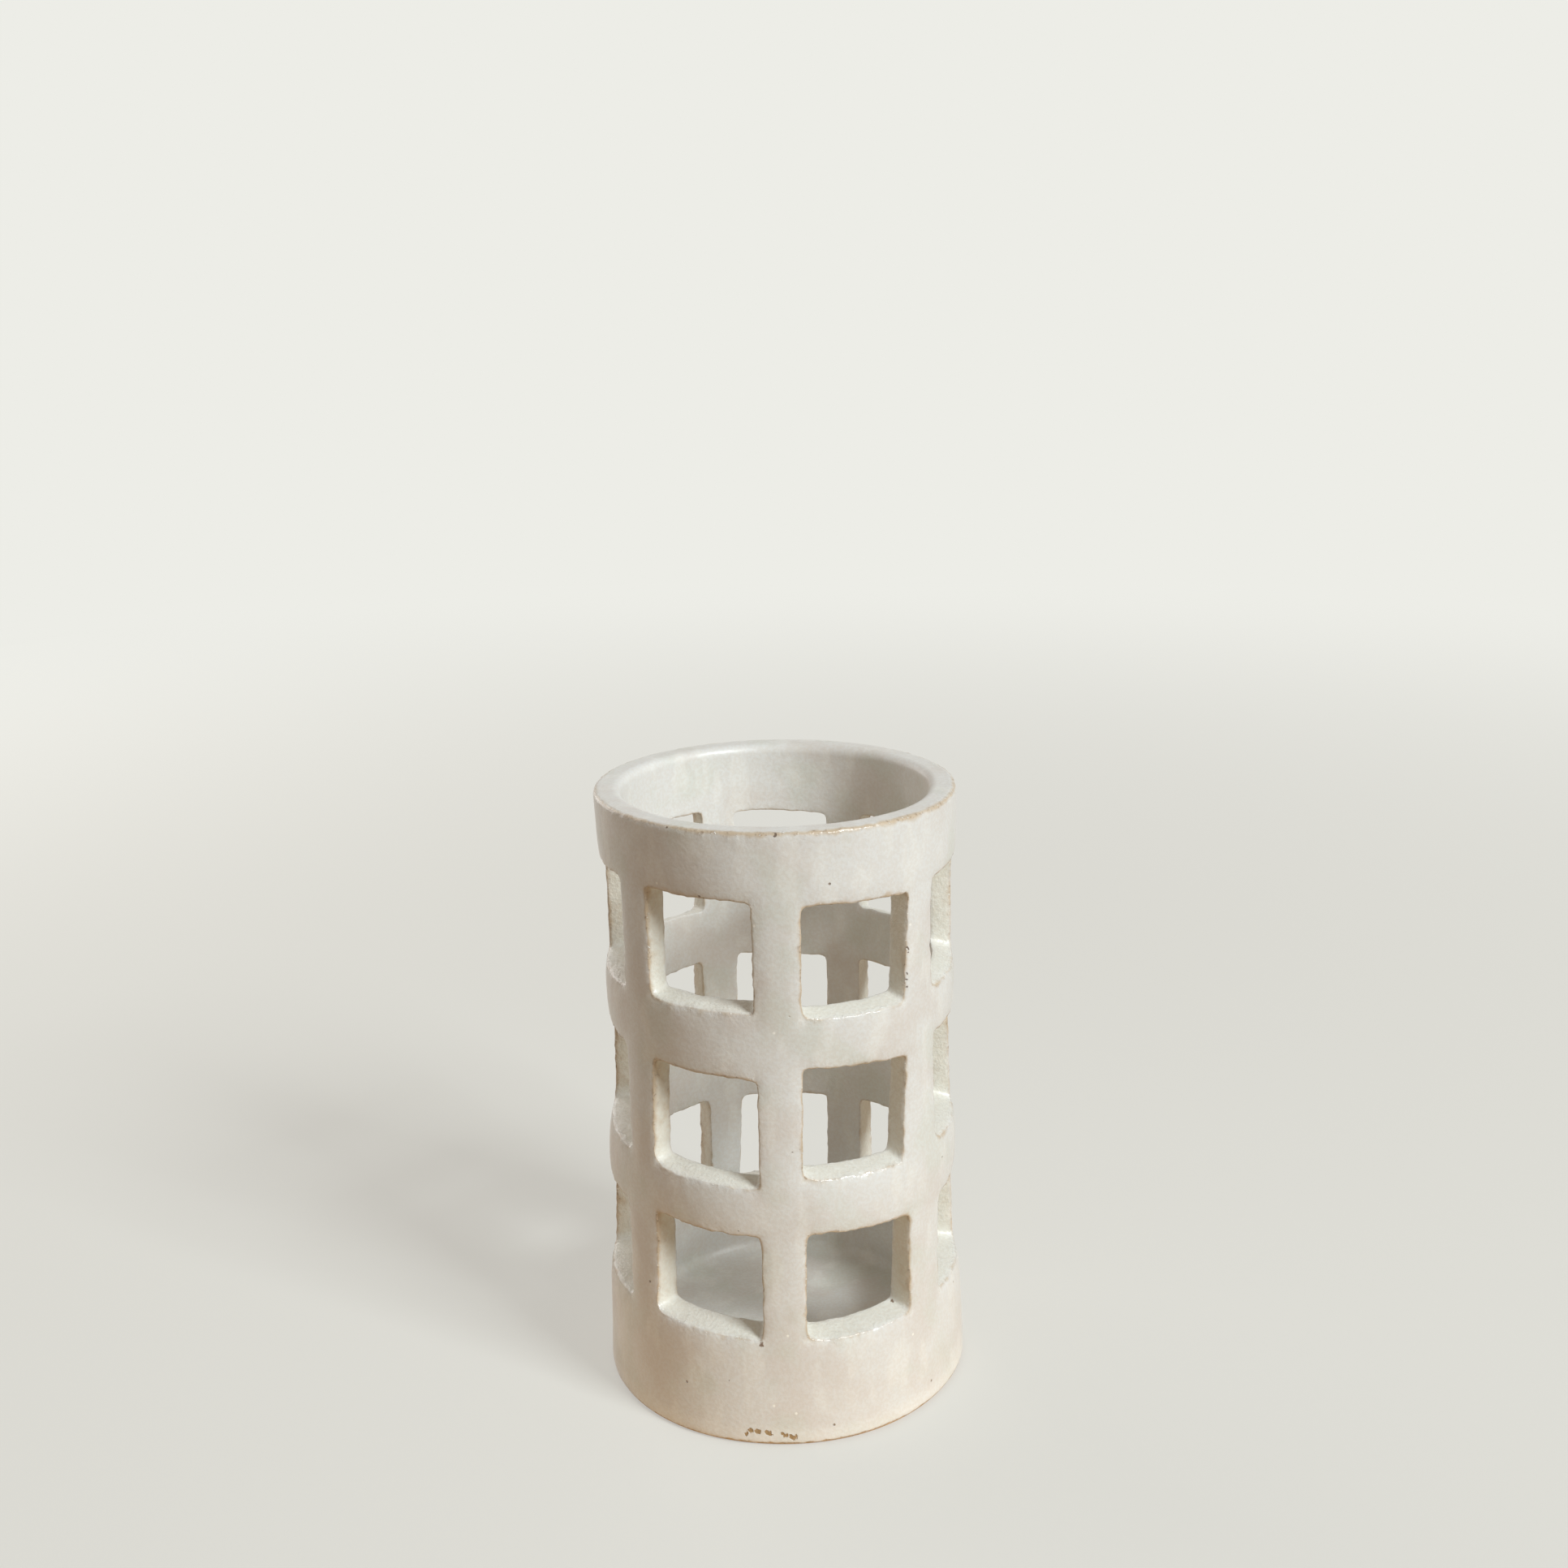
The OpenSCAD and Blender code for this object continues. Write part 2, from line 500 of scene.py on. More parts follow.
# A window's rolled edge lies this much under the skin round it
EDGE_DIP = 0.1 * MM
# Such edges are found between the lowest sill and the highest head, and this far beyond
EDGE_SPREAD = 3 * MM


def pressed(point):
    """How far the hand moved the wall outwards at a point."""
    to_the_right = max(0, point.x / point.xy.length)
    up_the_rim = max(0, point.z / HEIGHT - RIM_PUSHED_FROM) / (1 - RIM_PUSHED_FROM)
    moved = PRESSED_BY * bell(point.z - PRESSED_HEIGHT, PRESSED_REACH)
    moved += FULL_BY * bell(point.z - FULL_HEIGHT, FULL_REACH)
    moved += RIM_PUSHED_BY * to_the_right ** 2 * up_the_rim
    level_point = at_angle(math.atan2(point.x, -point.y), MOUTH_R, point.z)
    return moved + LUMP_DEPTH * noise.noise(level_point / LUMP_SIZE + LUMP_START)


def press_wall(shell):
    """Moves the wall in and out; the floor and the middle of the underside stay."""
    for vert in shell.verts:
        r = vert.co.xy.length
        if r < FLOOR_RINGS[0] * inside_r(0):
            continue
        change = pressed(vert.co)
        kinds = [face[kind] for face in vert.link_faces]
        by_window = sills[0] - EDGE_SPREAD < vert.co.z < heads[-1] + EDGE_SPREAD
        if ROLLED in kinds and by_window and on_outside(vert.co):
            change -= EDGE_DIP
        vert.co.xy *= (r + change) / r


press_wall(shell)
rim_push = pressed(Vector((MOUTH_R, 0, HEIGHT)))
print("the rim's right side has moved by, in mm", round(rim_push / MM, 2))

# %% [markdown]
# ## Where the glaze is thin
# Glaze runs off sharp edges as it melts, and collects in low corners. The
# material needs to know how near each point is to an edge, so each vertex
# carries a number: 1 in the middle of a rolled edge and 0 on the open wall.
# A second number says how thin the glaze ran there, and a third marks the cut
# faces inside a window. They are worked out from the faces round the vertex
# and the way it faces, before the mesh is made finer.

# %% Mark edges and reveals
# How thin the glaze is on an upright edge, how much thinner where an edge
# faces right, and how much thicker where it faces up
EVEN_THIN, RIGHT_THIN, UP_THICK = 0.77, 0.12, 0.38
RIM_THIN = 0.8
# The edges on the inner skin count for this share of the outer ones
INNER_EDGE = 0.7
# The rim's own band begins this far above the highest head
RIM_BAND_GAP = 5 * MM


def above_windows(vert):
    return vert.co.z > heads[-1] + RIM_BAND_GAP


def thinness(vert):
    """How thin the glaze ran on an edge: most on heads and least on sills."""
    if above_windows(vert):
        return RIM_THIN
    thin = EVEN_THIN + RIGHT_THIN * vert.normal.dot(to_right(vert))
    return min(1, max(0, thin - UP_THICK * vert.normal.z))


def mark_edges(shell):
    shell.normal_update()
    edge_mark = shell.verts.layers.float["edge"]
    thin_mark = shell.verts.layers.float["thin"]
    reveal_mark = shell.verts.layers.float["reveal"]
    for vert in shell.verts:
        kinds = [face[kind] for face in vert.link_faces]
        vert[edge_mark] = kinds.count(ROLLED) / len(kinds)
        vert[reveal_mark] = 1.0 if REVEAL in kinds else 0.0
        if not on_outside(vert.co):
            vert[edge_mark] *= INNER_EDGE
        vert[thin_mark] = vert[edge_mark] * thinness(vert)


mark_edges(shell)
edge_mark = shell.verts.layers.float["edge"]
print("vertices on an edge", sum(vert[edge_mark] > 0 for vert in shell.verts))

# %% [markdown]
# ## A finer skin
# The knife's small wobbles are only a millimetre or so long, finer than the
# faces so far. One level of subdivision surface rounds the whole shell and
# halves the spacing. It is turned into plain mesh here, and not left live,
# because the wobbles have to move the finer vertices.

# %% Subdivide the shell
def refined(shell):
    rough = bpy.data.meshes.new("rough")
    shell.to_mesh(rough)
    holder = bpy.data.objects.new("rough", rough)
    bpy.context.scene.collection.objects.link(holder)
    smoother = holder.modifiers.new("sponged", "SUBSURF")
    smoother.levels = 1
    smoother.render_levels = 1
    rounded = holder.evaluated_get(bpy.context.evaluated_depsgraph_get())
    smooth = bpy.data.meshes.new_from_object(rounded)
    finer = bmesh.new()
    finer.from_mesh(smooth)
    bpy.data.objects.remove(holder)
    bpy.data.meshes.remove(rough)
    bpy.data.meshes.remove(smooth)
    return finer


finer = refined(shell)
shell.free()
print("triangles", sum(len(face.verts) - 2 for face in finer.faces))

# %% [markdown]
# ## Wobbles, nicks and pools
# The edges get a fine wobble from noise, strongest in the middle of the
# rolled strip. A few single marks are placed one by one: a nick under the low
# left window and a chip on the low right one, which are bare, and two dents
# that the glaze ran over. Last, every vertex near a low corner of a window is
# marked as a pool, where the glaze gathered and where a highlight is painted
# in white. The upward faces of the sills get less than half as much, which
# paints them lighter, as light from above would.

# %% Work the edges
EDGE_WOBBLE = 0.33 * MM
# The rim was smoothed for longer, so it wobbles by this share of the cut edges
RIM_WOBBLE = 0.5
# Lengths of the slow and of the quick wobble, and the share of the quick one
SLOW_LENGTH, QUICK_LENGTH, QUICK_SHARE = 3.2 * MM, 1.4 * MM, 0.9
# A vertex with less of an edge mark than this keeps still
LEAST_EDGE = 0.2
# Noise vectors start from the clock unless they are given a seed
WOBBLE_SEED = 7
# How far a pool and its painted highlight reach, how deep in the wall its middle
# lies, and how full a sill is, a share that also paints the sill lighter as light from above
# would
POOL_AND_HIGHLIGHT_R, POOL_AND_HIGHLIGHT_DEEP, SILL_POOL_AND_LIGHT = 2.6 * MM, 1.5 * MM, 0.38
# A sill is where the mark of a cut face and the upward slope are over these
CUT_FACE, FACING_UP = 0.4, 0.5
# Angle in degrees, height, distance from the axis, width and depth in millimetres
BARE_NICKS = [(-6.9, 28.8, 49, 1.8, 0.15), (43.2, 30.4, 42.3, 2.2, 0.3)]
GLAZED_DENTS = [(-20.0, 113.9, 47.4, 2.6, 0.15), (56.0, 129.0, 47, 2.6, 0.4)]
# About where the outer skin is, for marks that have no distance of their own
SKIN_FROM_AXIS = 48


def on_skin(tree, degrees, height, from_axis=SKIN_FROM_AXIS):
    """The point of the fired skin nearest to an angle and a height in millimetres."""
    return tree.find_nearest(at_angle(math.radians(degrees), from_axis * MM, height * MM))[0]


def wobble_edges(finer):
    edge_mark = finer.verts.layers.float["edge"]
    for vert in finer.verts:
        if vert[edge_mark] > LEAST_EDGE:
            slow = noise.noise_vector(vert.co / SLOW_LENGTH)
            quick = noise.noise_vector(vert.co / QUICK_LENGTH)
            share = vert[edge_mark] * (RIM_WOBBLE if above_windows(vert) else 1)
            vert.co += (slow + QUICK_SHARE * quick) * EDGE_WOBBLE * share


def press_nicks(finer, tree):
    for degrees, height, from_axis, width, depth in BARE_NICKS + GLAZED_DENTS:
        centre = on_skin(tree, degrees, height, from_axis)
        for vert in finer.verts:
            near = 2 * (vert.co - centre).length / (width * MM)
            if near < 1:
                vert.co -= vert.normal * depth * MM * (1 - near ** 2) ** 2


# Low corners are pools of thicker glaze and also where a highlight is painted; the sills are
# painted lighter, as light from above would make them
def mark_pools_and_highlights(finer):
    corners = kdtree.KDTree(2 * COLUMNS * ROWS)
    for jamb in range(2 * COLUMNS):
        for row in range(ROWS):
            angle, z = knot(jamb, 2 * row + 1)
            corners.insert(at_angle(angle, outside_r(z) - POOL_AND_HIGHLIGHT_DEEP, z), jamb * ROWS + row)
    corners.balance()
    pool_highlight_mark = finer.verts.layers.float["pool_and_highlight"]
    reveal_mark = finer.verts.layers.float["reveal"]
    for vert in finer.verts:
        on_sill = vert[reveal_mark] > CUT_FACE and vert.normal.z > FACING_UP
        distance = corners.find(vert.co)[2]
        vert[pool_highlight_mark] = max(SILL_POOL_AND_LIGHT if on_sill else 0, 1 - distance / POOL_AND_HIGHLIGHT_R)


noise.seed_set(WOBBLE_SEED)
wobble_edges(finer)
finer.normal_update()
skin_tree = BVHTree.FromBMesh(finer)
press_nicks(finer, skin_tree)
mark_pools_and_highlights(finer)
pool_highlight_mark = finer.verts.layers.float["pool_and_highlight"]
print("vertices in a pool", sum(vert[pool_highlight_mark] > SILL_POOL_AND_LIGHT for vert in finer.verts))

# %% [markdown]
# ## The finished piece
# A real cage comes out of the kiln as one thing, so the whole shell becomes
# one object. It belongs to the only body and stands for that body's only
# node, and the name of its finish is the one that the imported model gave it.

# %% Make the piece
def make_cage(finer):
    mesh = bpy.data.meshes.new("glazed_cage")
    finer.to_mesh(mesh)
    mesh.shade_smooth()
    cage = bpy.data.objects.new("glazed_cage", mesh)
    bpy.context.scene.collection.objects.link(cage)
    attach(cage, "root")
    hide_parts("cage")
    return cage


cage = make_cage(finer)
finer.free()
marks_kept = [name for name in MARKS if name in cage.data.attributes]
print("vertices", len(cage.data.vertices), "marks", marks_kept)

# %% [markdown]
# ## Writing a material as sums
# A material is a web of small nodes, and most of them are arithmetic. A wire
# here is a number on its way through that web. Adding or multiplying wires
# makes the Math node for it, so a mask reads like a formula. Every other node
# comes from one method, which sets the node up first and then fills or links
# its sockets.

# %% Recipe helpers
class Wire:
    """A value on its way through a material; sums with it add Math nodes."""

    def __init__(self, recipe, socket):
        self.recipe = recipe
        self.socket = socket

    def __add__(self, other):
        return self.recipe.math("ADD", self, other)

    def __radd__(self, other):
        return self.recipe.math("ADD", other, self)

    def __sub__(self, other):
        return self.recipe.math("SUBTRACT", self, other)

    def __rsub__(self, other):
        return self.recipe.math("SUBTRACT", other, self)

    def __mul__(self, other):
        return self.recipe.math("MULTIPLY", self, other)

    def __rmul__(self, other):
        return self.recipe.math("MULTIPLY", other, self)


class Recipe:
    """A material in the making."""

    # How softly a round spot ends, as a share of its radius
    SOFTNESS = 0.3

    def __init__(self, name):
        self.material = bpy.data.materials.new(name)
        self.material.use_nodes = True
        self.tree = self.material.node_tree
        self.shader = self.tree.nodes["Principled BSDF"]

    def fill(self, node, values):
        for name, value in values.items():
            if isinstance(value, Wire):
                self.tree.links.new(value.socket, node.inputs[name])
            else:
                node.inputs[name].default_value = value

    def add(self, node_type, settings, values, output):
        node = self.tree.nodes.new(node_type)
        for name, value in settings.items():
            setattr(node, name, value)
        self.fill(node, values)
        return Wire(self, node.outputs[output])

    def math(self, operation, *values):
        sockets = dict(enumerate(values))
        return self.add("ShaderNodeMath", {"operation": operation}, sockets, "Value")

    def vector(self, operation, *values, output="Vector"):
        sockets = dict(enumerate(values))
        return self.add("ShaderNodeVectorMath", {"operation": operation}, sockets, output)

    def between(self, value, low, high):
        """0 below low and 1 above high, with a soft step; low above high turns it round."""
        ends = {"Value": value, "From Min": low, "From Max": high}
        soft = {"interpolation_type": "SMOOTHSTEP"}
        return self.add("ShaderNodeMapRange", soft, ends, "Result")

    def mix(self, share, under, over):
        """One colour laid over another; a Mix node keeps colours in sockets 6 and 7."""
        values = {0: share, 6: under, 7: over}
        return self.add("ShaderNodeMix", {"data_type": "RGBA"}, values, 2)

    def noise(self, where, size, detail=2.0):
        """Soft noise about 0.5, with lumps of one size in metres."""
        values = {"Vector": where, "Scale": 1 / size, "Detail": detail}
        return self.add("ShaderNodeTexNoise", {}, values, "Fac")

    def mark(self, name):
        return self.add("ShaderNodeAttribute", {"attribute_name": name}, {}, "Fac")

    def torn(self, where, size, by):
        """The same places pulled about by noise, so that round spots come out ragged."""
        values = {"Vector": where, "Scale": 1 / size}
        pull = self.add("ShaderNodeTexNoise", {}, values, "Color")
        shift = self.vector("MULTIPLY_ADD", pull, (by, by, by), (-by / 2, -by / 2, -by / 2))
        return self.vector("ADD", where, shift)

    def near(self, where, spots, radius):
        """1 within a radius of any of the spots and 0 away from them."""
        nearest = self.vector("DISTANCE", where, spots[0], output="Value")
        for spot in spots[1:]:
            distance = self.vector("DISTANCE", where, spot, output="Value")
            nearest = self.math("MINIMUM", distance, nearest)
        return self.between(nearest, radius * (1 + self.SOFTNESS), radius * (1 - self.SOFTNESS))


def seen(red, green, blue):
    """A colour as it is read off a screen, from 0 to 255, in Blender's linear light."""
    def linear(value):
        share = value / 255
        return share / 12.92 if share < 0.04045 else ((share + 0.055) / 1.055) ** 2.4
    return (linear(red), linear(green), linear(blue), 1)


print("a grey of 128 in linear light", round(seen(128, 128, 128)[0], 3))

# %% [markdown]
# ## The glaze
# The glaze is a satin off-white over a sandy clay. It isn't one colour: it
# drifts from rosy to greenish over a couple of centimetres, and it is finely
# grained. Where it ran down the wall as it melted it left paler, upright
# clouds. It is creamier on the cut faces, and it breaks to tan along edges,
# where it ran thin. The pools in the low corners and the sills are painted
# whiter. This is partly thicker glaze, and partly painted highlight and painted
# light from above. White specks along the edges are painted glints. There are
# iron specks, a few pinholes, bare spots at the foot, and a line of bare clay
# that keeps the pot from sticking to the kiln's shelf. The colours were read off
# the picture, and the marks that it shows were placed one by one.

# %% Mix the colours
GLAZE = seen(231, 231, 228)
ROSY = seen(222, 215, 208)
GREENISH = seen(220, 223, 214)
CREAM = seen(235, 233, 218)
# Thick glaze, which also serves as painted highlight in the pools and as painted light on the
# sills
THICK_AND_LIT = seen(243, 243, 238)
TAN = seen(196, 169, 130)
BROWN = seen(136, 106, 78)
DARK_IRON = seen(92, 70, 54)
# Painted glints: white specks along the rolled edges
GLINT = seen(250, 249, 243)
PALE_SPECK = seen(250, 248, 240)
BARE_NICK = seen(116, 82, 50)
CLAY, COARSE_CLAY = seen(208, 182, 146), seen(186, 156, 118)
STAINED_CLAY = seen(150, 122, 80)
# Size of the clouds, where in their noise they begin and are full, and their share
ROSY_CLOUDS = (21 * MM, 0.45, 0.62, 0.55)
GREENISH_CLOUDS = (16 * MM, 0.48, 0.66, 0.55)
UPRIGHT_RUNS = (6 * MM, 0.5, 0.68, 0.45)
# The greenish clouds are read from another part of the noise, and the runs
# from one that is drawn out upwards
ASIDE, DRAWN_OUT = (1, 2, 3), (1, 1, 0.4)
# Angle in degrees and height in millimetres of the marks that can be seen
PINHOLES = [
    (-47.2, 38.6), (-31.4, 14.5), (14.9, 5.0), (52.8, 6.1), (-23.5, 149.0), (15.8, 152.9),
]
EDGE_DOTS = [
    (-33.3, 166.0), (-5.2, 166.0), (0.0, 166.0),
    (43.7, 131.7), (43.7, 130.6), (43.5, 125.1), (43.3, 123.3), (43.2, 121.1),
]
PALE_SPECKS = [
    (-38.8, 150.5), (-6.8, 142.7), (44.8, 137.7), (-1.3, 114.5),
    (1.3, 31.4), (44.2, 23.4), (-3.3, 11.6), (3.4, 9.4),
]
BARE_SPOTS = [
    (-11.9, 3.2), (-10.4, 4.2), (-8.8, 4.0), (-8.0, 3.9), (-5.7, 3.9),
    (-4.7, 3.8), (-0.7, 3.5), (0.2, 3.2), (1.8, 2.7), (2.9, 2.5),
]


def places(spots):
    return [on_skin(skin_tree, *spot) for spot in spots]


def clouds(recipe, where, size, begin, full, share):
    return share * recipe.between(recipe.noise(where, size), begin, full)


def drifting_glaze(recipe, where):
    aside = recipe.vector("ADD", where, ASIDE)
    drawn_out = recipe.vector("MULTIPLY", where, DRAWN_OUT)
    colour = recipe.mix(clouds(recipe, where, *ROSY_CLOUDS), GLAZE, ROSY)
    colour = recipe.mix(clouds(recipe, aside, *GREENISH_CLOUDS), colour, GREENISH)
    return recipe.mix(clouds(recipe, drawn_out, *UPRIGHT_RUNS), colour, THICK_AND_LIT)


print("marks that can be seen", sum(map(len, (PINHOLES, EDGE_DOTS, PALE_SPECKS, BARE_SPOTS))))

# %% [markdown]
# ## Masks
# A mask is a number from 0 to 1 at every point of the skin: 1 where one thing
# happened to the glaze and 0 where it didn't. Two of them also carry painted
# light: the pools and sills carry painted highlight and light from above, and
# the glints are painted highlights. The colour, the gloss and the relief all
# need the same ones, so they are made once. Most begin as the marks on the
# vertices, and noise then pulls their borders about, because glaze never ends
# in a clean line.

# %% Make the masks
# Sizes of the grain, the ragged borders and the slow drift, and the first two's detail
GRAIN_SIZE, RAGGED_SIZE, DRIFT_SIZE, DETAIL = 0.9 * MM, 2.2 * MM, 9 * MM, 3.0
# Size of the noise that tears spots out of round, and how far it pulls
TEAR_SIZE, TEAR_BY = 1.0 * MM, 1.8 * MM
# Where each mask begins and where it is full, in the marks and the noises
POOLED_AND_LIT, WORN, GLINTED, GLOSSY = (0.1, 0.8), (0.3, 0.8), (0.35, 0.8), (0.3, 0.9)
SANDY, CRUMBLED, MOTTLED = (0.62, 0.4), (0.54, 0.7), (0.4, 0.6)
# The same as heights, for the thick roll above the foot and the bare line under it
FOOT_ROLL, BARE_LINE = (7.5 * MM, 4 * MM), (1.3 * MM, 0.7 * MM)
# How much noise pulls about the thin edges, the roll and the line
WORN_PULL, ROLL_PULL, LINE_PULL = 0.6, 2 * MM, 1.6 * MM
# Spacing and radius of the specks, and the share of them that is there
# The first specks are painted glints on the edges, the second are iron specks
GLINT_SPECKS = (1.2 * MM, 0.26 * MM, 0.45)
IRON = (3.6 * MM, 0.22 * MM, 0.13)
# A speck is full within the first share of its radius and gone past the second
SPECK_FULL, SPECK_GONE = 0.6, 1.2
# Chance is turned into there or not there over this narrow step
CHANCE_STEP = 0.02
PINHOLE_R, DOT_R, PALE_SPECK_R = 0.3 * MM, 0.34 * MM, 0.35 * MM
NICK_R, BARE_SPOT_R = 0.5 * MM, 0.62 * MM


def specks(recipe, where, spacing, radius, share):
    """Specks at random places, on a share of the cells that they fall in."""
    values = {"Vector": where, "Scale": 1 / spacing}
    distance = recipe.add("ShaderNodeTexVoronoi", {}, values, "Distance")
    chance = recipe.add("ShaderNodeTexVoronoi", {}, values, "Color")
    chosen = recipe.between(chance, 1 - share, 1 - share + CHANCE_STEP)
    size = radius / spacing
    return chosen * recipe.between(distance, size * SPECK_GONE, size * SPECK_FULL)


def glaze_masks(recipe, where):
    """Every mask, by its name."""
    height = recipe.add("ShaderNodeSeparateXYZ", {}, {"Vector": where}, "Z")
    edge, thin_edge, reveal, pool_and_highlight = map(recipe.mark, MARKS)
    grain = recipe.noise(where, GRAIN_SIZE, DETAIL)
    ragged = recipe.noise(where, RAGGED_SIZE, DETAIL)
    slow = recipe.noise(where, DRIFT_SIZE)
    torn = recipe.torn(where, TEAR_SIZE, TEAR_BY)
    worn = thin_edge + WORN_PULL * (ragged - 0.5) + WORN_PULL * (slow - 0.5)
    thin = recipe.between(worn, *WORN)
    iron = specks(recipe, torn, *IRON)
    bare_line = recipe.between(height + LINE_PULL * (ragged - 0.5), *BARE_LINE)
    spots = recipe.near(torn, places(BARE_SPOTS), BARE_SPOT_R)
    return SimpleNamespace(
        edge=edge, reveal=reveal, grain=grain, ragged=ragged, slow=slow, thin=thin, spots=spots,
        # Pools and sills: thicker glaze, and also painted highlight and painted light from above
        pooled_and_lit=recipe.between(pool_and_highlight, *POOLED_AND_LIT),
        rolled=recipe.between(edge, *GLOSSY),
        roll=recipe.between(height + ROLL_PULL * slow, *FOOT_ROLL),
        sandy=recipe.between(grain, *SANDY),
        crumbs=thin * recipe.between(grain, *CRUMBLED),
        # Painted glints on the rolled edges
        glints=recipe.between(edge, *GLINTED) * specks(recipe, torn, *GLINT_SPECKS),
        pits=recipe.math("MAXIMUM", iron, recipe.near(where, places(PINHOLES), PINHOLE_R)),
        nicks=recipe.near(torn, places([nick[:3] for nick in BARE_NICKS]), NICK_R),
        dots=recipe.near(torn, places(EDGE_DOTS), DOT_R),
        pale=recipe.near(where, places(PALE_SPECKS), PALE_SPECK_R),
        bare=recipe.math("MAXIMUM", bare_line, spots),
    )


print("masks begin from", MARKS)

# %% [markdown]
# ## Coats of colour
# A potter would dip the pot once, and the kiln would do the rest. Here the
# same is built up in coats, each mixed over the one before by its mask, from
# the widest to the smallest, so that a speck is never hidden under a cloud.
# The white coat on the pools and sills is partly painted highlight and painted
# light from above, and the white specks on the edges are painted glints.

# %% Lay the coats
def glaze_colour(recipe, where, masks):
    clay = recipe.mix(recipe.between(masks.grain, *MOTTLED), CLAY, COARSE_CLAY)
    clay = recipe.mix(0.55 * masks.spots, clay, STAINED_CLAY)
    # How strong each coat is and where it lies, and its colour
    coats = [
        (0.6 * masks.reveal, CREAM),
        # Thick glaze at the foot; in the pools and on the sills it is also painted highlight and
        # painted light
        (recipe.math("MAXIMUM", 0.45 * masks.roll, 0.9 * masks.pooled_and_lit), THICK_AND_LIT),
        (0.11 * masks.sandy, TAN),
        (0.72 * masks.thin, TAN),
        (0.6 * masks.crumbs, BROWN),
        # Painted glints
        (0.8 * masks.glints, GLINT),
        (0.75 * masks.pits, BROWN),
        (0.85 * masks.nicks, BARE_NICK),
        (0.85 * masks.dots, DARK_IRON),
        (masks.pale, PALE_SPECK),
        (masks.bare, clay),
    ]
    colour = drifting_glaze(recipe, where)
    for share, coat in coats:
        colour = recipe.mix(share, colour, coat)
    return colour


# %% [markdown]
# ## Gloss and relief
# Bump stands in for what is too small to model: the glaze's orange peel, its
# fine grain and the pits where it crawled back. The same masks that paint the
# pits also lower them. The gloss follows the thickness: glassy in the pools
# and along the rolled edges, satin on the wall, and dull on bare clay.

# %% Fire the glaze
# Roughness of the open glaze, of bare clay and of a nick's inside
SATIN, DULL_CLAY, DULL_NICK = 0.34, 0.88, 0.7
PEEL_SIZE = 4.5 * MM
RELIEF_DEPTH = 0.28 * MM


def glaze_roughness(recipe, masks):
    satin = SATIN + 0.1 * (masks.slow - 0.5) + 0.06 * masks.reveal
    glassy = satin - 0.14 * masks.pooled_and_lit - 0.14 * masks.rolled - 0.08 * masks.glints
    dull = recipe.math("MAXIMUM", DULL_CLAY * masks.bare, DULL_NICK * masks.nicks)
    return recipe.math("MAXIMUM", glassy, dull)


def glaze_relief(recipe, where, masks):
    """The height of the skin, in shares of the relief's depth."""
    peel = recipe.noise(where, PEEL_SIZE)
    coarseness = 0.2 + 0.3 * masks.reveal + 0.5 * masks.edge
    skin = 0.55 * peel + coarseness * masks.grain + 0.35 * masks.edge * masks.ragged
    return skin + 0.3 * masks.glints - 0.9 * masks.pits - 0.6 * masks.bare


def stoneware_glaze():
    recipe = Recipe("stoneware_glaze")
    where = recipe.add("ShaderNodeTexCoord", {}, {}, "Object")
    masks = glaze_masks(recipe, where)
    relief = glaze_relief(recipe, where, masks)
    bump = {"Height": relief, "Distance": RELIEF_DEPTH, "Strength": 1.0}
    recipe.fill(recipe.shader, {
        "Base Color": glaze_colour(recipe, where, masks),
        "Roughness": glaze_roughness(recipe, masks),
        "Normal": recipe.add("ShaderNodeBump", {}, bump, "Normal"),
    })
    return recipe.material


glaze = stoneware_glaze()
cage.data.materials.append(glaze)
print("nodes in the glaze", len(glaze.node_tree.nodes))

# %% [markdown]
# ## The stage
# A wide pale floor runs out to a pale surround, with no line between them. A
# bent backdrop would hide the line too, but a floor that fades into the
# surround stays flat, and the shade of the cage lies on it as on a table. The
# surround is only what the camera and the reflections see, so it adds no light
# to the object.

# %% Floor and surround
SURROUND = seen(237, 237, 231)
FLOOR_COLOUR = seen(222, 220, 213)
# The light that the floor throws back up is warmer than it looks, and it
# comes mostly from near the foot
NEAR_BOUNCE, FAR_BOUNCE = seen(230, 194, 148), seen(150, 130, 108)
NEAR_R, FAR_R = 0.1, 0.24
FLOOR_R, FLOOR_SIDES, FLOOR_ROUGH = 4.0, 64, 0.9
# The floor fades into the surround between two distances, and begins with a share of it
FADE_FROM, FADE_TO, FADE_SHARE = 0.25, 1.4, 0.5


def outward_rays(recipe):
    """1 for rays that the camera, a reflection or glass sends out, 0 for light."""
    rays = [recipe.add("ShaderNodeLightPath", {}, {}, name)
            for name in ("Is Camera Ray", "Is Glossy Ray", "Is Transmission Ray")]
    return recipe.math("MAXIMUM", recipe.math("MAXIMUM", rays[0], rays[1]), rays[2])


def pale_floor():
    recipe = Recipe("pale_floor")
    where = recipe.add("ShaderNodeTexCoord", {}, {}, "Object")
    shown = outward_rays(recipe)
    away = recipe.vector("LENGTH", where, output="Value")
    bounce = recipe.mix(recipe.between(away, NEAR_R, FAR_R), NEAR_BOUNCE, FAR_BOUNCE)
    colour = recipe.mix(shown, bounce, FLOOR_COLOUR)
    recipe.fill(recipe.shader, {"Base Color": colour, "Roughness": FLOOR_ROUGH})
    faded = recipe.between(away, FADE_FROM, FADE_TO)
    share = shown * (FADE_SHARE + (1 - FADE_SHARE) * faded)
    glow = recipe.add("ShaderNodeEmission", {}, {"Color": SURROUND, "Strength": 1.0}, "Emission")
    lit = Wire(recipe, recipe.shader.outputs["BSDF"])
    both = recipe.add("ShaderNodeMixShader", {}, {0: share, 1: lit, 2: glow}, "Shader")
    recipe.fill(recipe.tree.nodes["Material Output"], {"Surface": both})
    return recipe.material


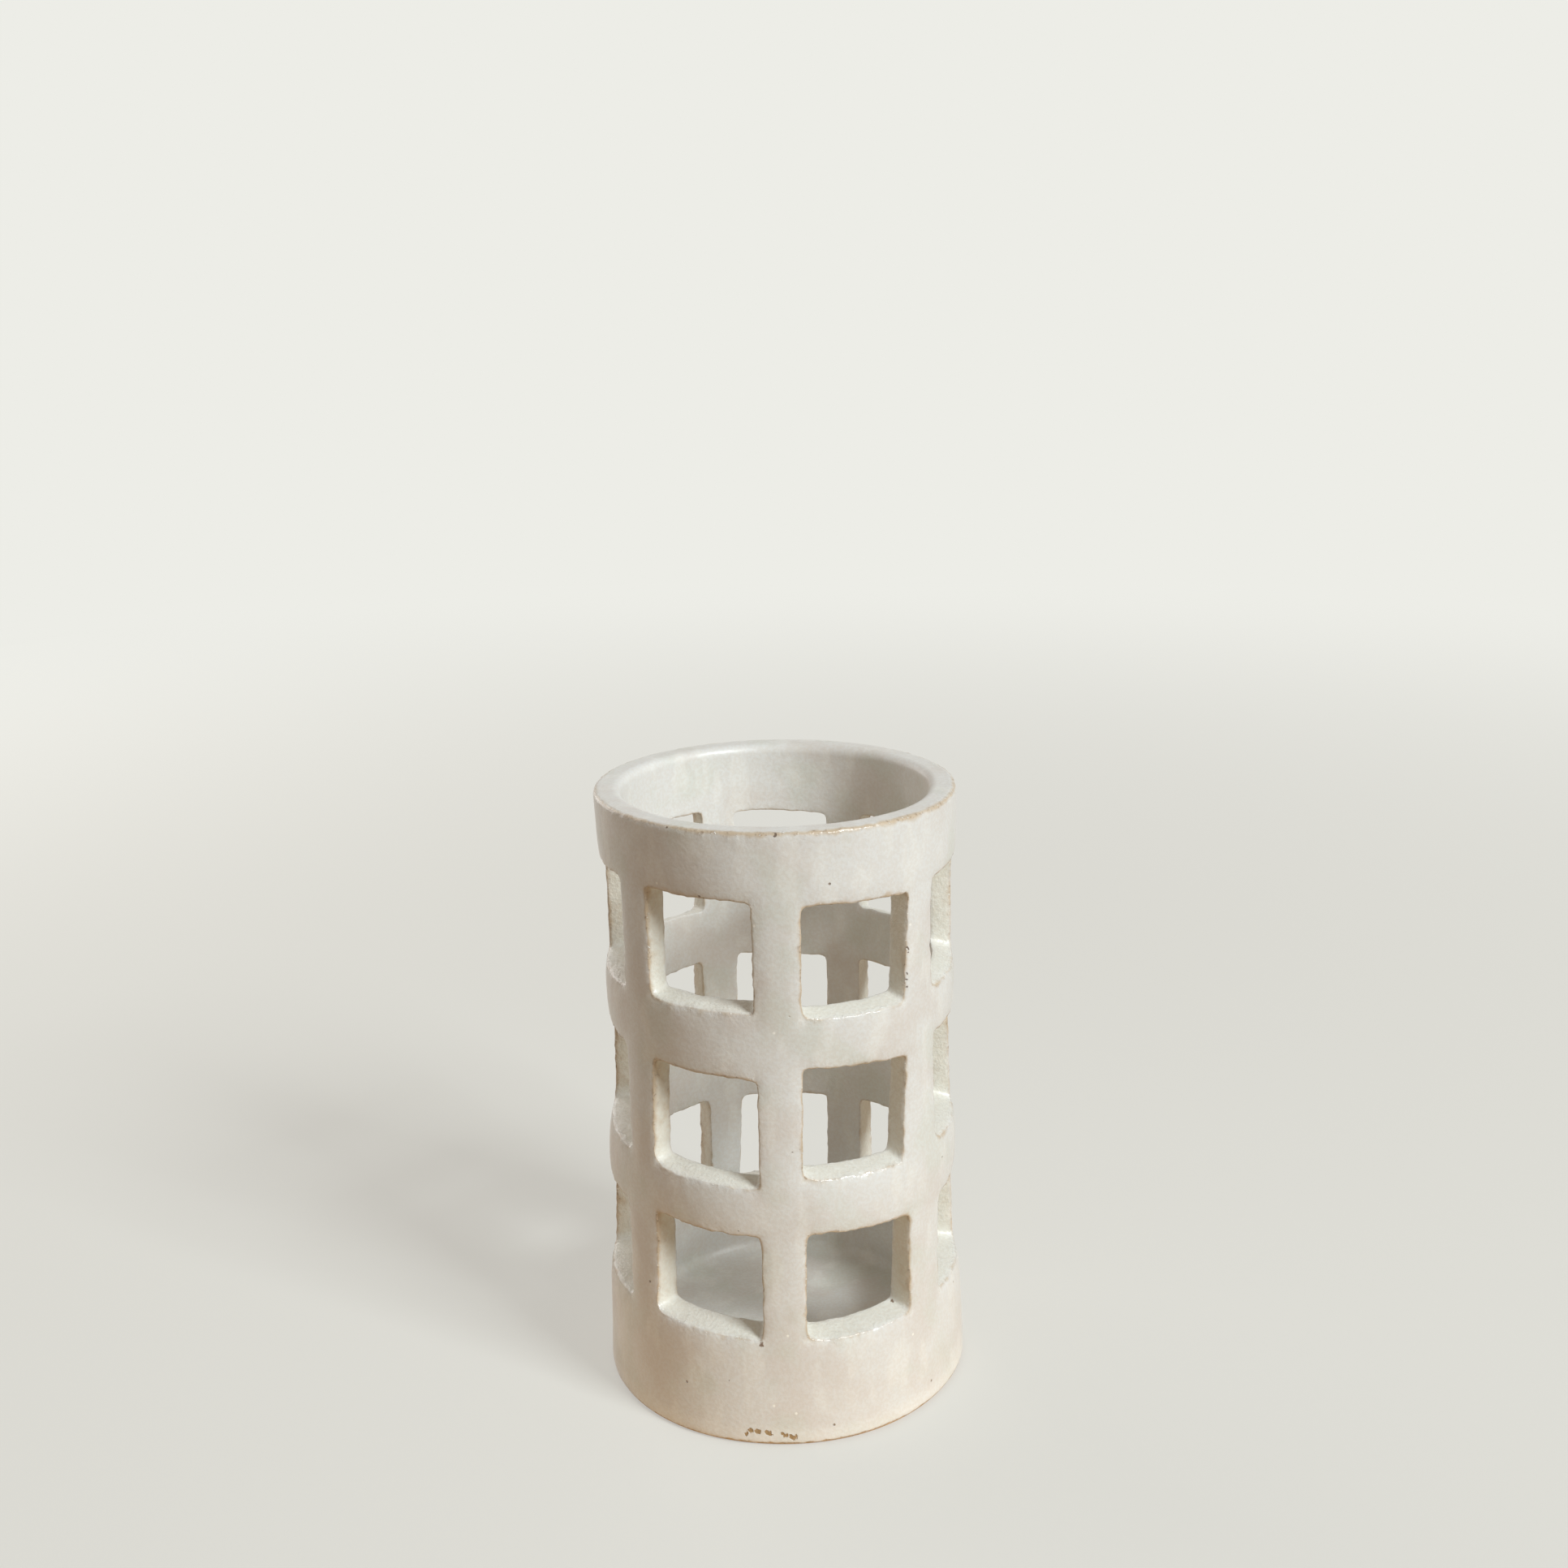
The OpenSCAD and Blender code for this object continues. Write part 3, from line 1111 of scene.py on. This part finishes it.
def stage_floor():
    disc = bmesh.new()
    bmesh.ops.create_circle(disc, cap_ends=True, segments=FLOOR_SIDES, radius=FLOOR_R)
    floor_mesh = bpy.data.meshes.new("floor")
    disc.to_mesh(floor_mesh)
    disc.free()
    floor = bpy.data.objects.new("floor", floor_mesh)
    floor_mesh.materials.append(pale_floor())
    bpy.context.scene.collection.objects.link(floor)
    return floor


floor = stage_floor()
print("floor across in m", 2 * FLOOR_R, "paint", floor.data.materials[0].name)

# %% [markdown]
# ## The light
# A sky alone would light the cage evenly and leave its windows flat. So a dim,
# slightly warm sky only fills the shade, and one soft lamp, high on the right
# and a little in front, makes the right side bright and lets the left side
# fall into shade. A second, weak lamp behind on the left keeps the far edge of
# the shade from going dull.

# %% Sky and lamps
SKY = (0.22, 0.179, 0.144, 1)
AIM = Vector((0, 0, 0.08))
# Place in metres, power in watts, size in metres and colour
KEY = (Vector((1.73, -1.5, 1.69)), 72.0, 0.9, (0.90, 0.97, 1.0))
# The weak one is low and far behind
BACK = (Vector((-0.9, 0.75, 0.35)), 6.0, 1.0, (1.0, 0.98, 0.95))


class SkyRecipe(Recipe):
    """The world in the making, from the same sums as a material."""

    def __init__(self, name):
        world = bpy.data.worlds.new(name)
        world.use_nodes = True
        bpy.context.scene.world = world
        self.tree = world.node_tree
        self.shader = self.tree.nodes["Background"]


def light_sky():
    recipe = SkyRecipe("sky")
    recipe.fill(recipe.shader, {"Color": recipe.mix(outward_rays(recipe), SKY, SURROUND)})


def hang_lamp(name, place, power, size, colour):
    lamp_data = bpy.data.lights.new(name, "AREA")
    lamp_data.energy = power
    lamp_data.size = size
    lamp_data.color = colour
    lamp = bpy.data.objects.new(name, lamp_data)
    lamp.location = place
    lamp.rotation_euler = (AIM - place).to_track_quat("-Z", "Y").to_euler()
    lamp.visible_camera = False
    bpy.context.scene.collection.objects.link(lamp)
    return lamp


light_sky()
lamps = [hang_lamp("key", *KEY), hang_lamp("back", *BACK)]
bpy.context.scene.view_settings.view_transform = "Standard"
print("lamps", [(lamp.name, lamp.data.energy) for lamp in lamps])
